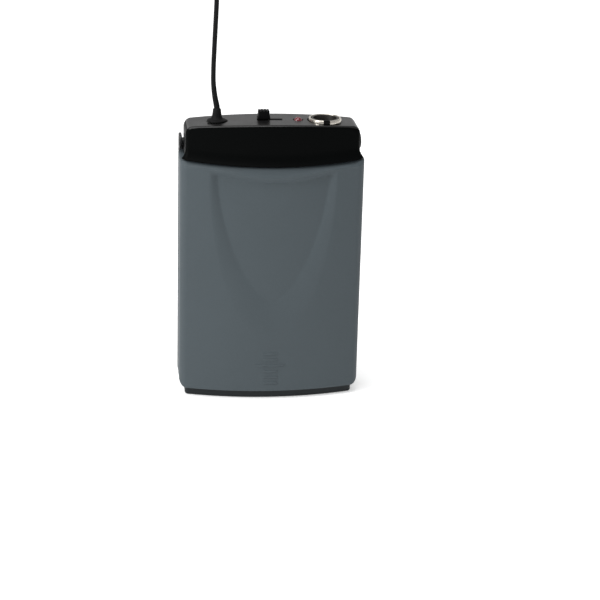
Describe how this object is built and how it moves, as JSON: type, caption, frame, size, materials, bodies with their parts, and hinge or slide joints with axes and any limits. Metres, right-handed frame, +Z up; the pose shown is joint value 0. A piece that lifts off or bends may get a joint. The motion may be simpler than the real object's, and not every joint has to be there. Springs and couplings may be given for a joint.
{
  "type": "wireless bodypack transmitter",
  "caption": "Belt-worn radio microphone transmitter: bowed grey case with a black cap, whip antenna, slide switch, lamp, microphone socket, sliding battery cover and belt clip.",
  "frame": {"origin": "centre of the flat base, on the surface that the pack stands on", "axes": "+Z up towards the antenna; the bowed front faces -Y and the belt clip +Y; +X is to the right of someone looking at the front"},
  "size_m": [0.064, 0.0285, 0.1875],
  "materials": {
    "grey_shell": "blue-grey moulded plastic, fine spark texture",
    "black_shell": "black moulded plastic, fine texture",
    "black_plastic": "black moulded plastic",
    "knob_plastic": "black plastic, grooved top",
    "chip_plastic": "dark moulded epoxy",
    "cell_jacket": "plain printed film sleeve",
    "capacitor_sleeve": "shrunk film sleeve",
    "circuit_board": "green solder mask on glass laminate",
    "nickel": "nickel plate, satin",
    "steel": "zinc-plated steel",
    "brass": "bright brass",
    "clip_steel": "black-coated spring steel",
    "rubber": "black rubber sleeve",
    "lamp": "red tinted clear resin"
  },
  "bodies": {
    "case": {"top_cap": "black_shell", "rear_case": "grey_shell", "base_plate": "black_shell", "battery_tray": "black_plastic", "cell_left": "cell_jacket", "cell_right": "cell_jacket", "bridge_contact": "nickel", "positive_contact": "nickel", "negative_contact": "nickel", "bridge_spring": "nickel", "negative_spring": "nickel", "main_board": "circuit_board", "board_screw_left": "steel", "board_screw_right": "steel", "shield_can": "nickel", "audio_chip": "chip_plastic", "radio_chip": "chip_plastic", "crystal": "nickel", "capacitor_left": "capacitor_sleeve", "capacitor_right": "capacitor_sleeve", "gain_pot_body": "chip_plastic", "switch_body": "steel", "lamp_lens": "lamp", "lamp_lead_left": "steel", "lamp_lead_right": "steel", "socket_ring": "nickel", "socket_shell": "nickel", "socket_insert": "black_plastic", "socket_pin_1": "brass", "socket_pin_2": "brass", "socket_pin_3": "brass", "antenna_bush": "brass", "antenna_lead": "nickel", "antenna_boot": "rubber", "antenna_whip": "rubber", "case_screw_1": "steel", "case_screw_2": "steel", "case_screw_3": "steel", "case_screw_4": "steel"},
    "door": {"front_cover": "grey_shell"},
    "clip": {"belt_clip": "clip_steel"},
    "power": {"power_knob": "knob_plastic"},
    "gain": {"gain_dial": "brass"}
  },
  "joints": [
    {"name": "door_slide", "type": "slide", "parent": "case", "child": "door", "axis": [0, 0, -1], "range_m": [0, 0.058]},
    {"name": "clip_hinge", "type": "hinge", "parent": "case", "child": "clip", "pos_m": [0, 0.0066, 0.0904], "axis": [1, 0, 0], "range_deg": [0, 15], "stiffness_Nm_per_rad": 1.5, "springref_deg": -5.73},
    {"name": "power_slide", "type": "slide", "parent": "case", "child": "power", "axis": [1, 0, 0], "range_m": [0, 0.0042]},
    {"name": "gain_turn", "type": "hinge", "parent": "case", "child": "gain", "pos_m": [0.016, 0.0008, 0.076], "axis": [0, -1, 0], "range_deg": [-135, 135]}
  ]
}
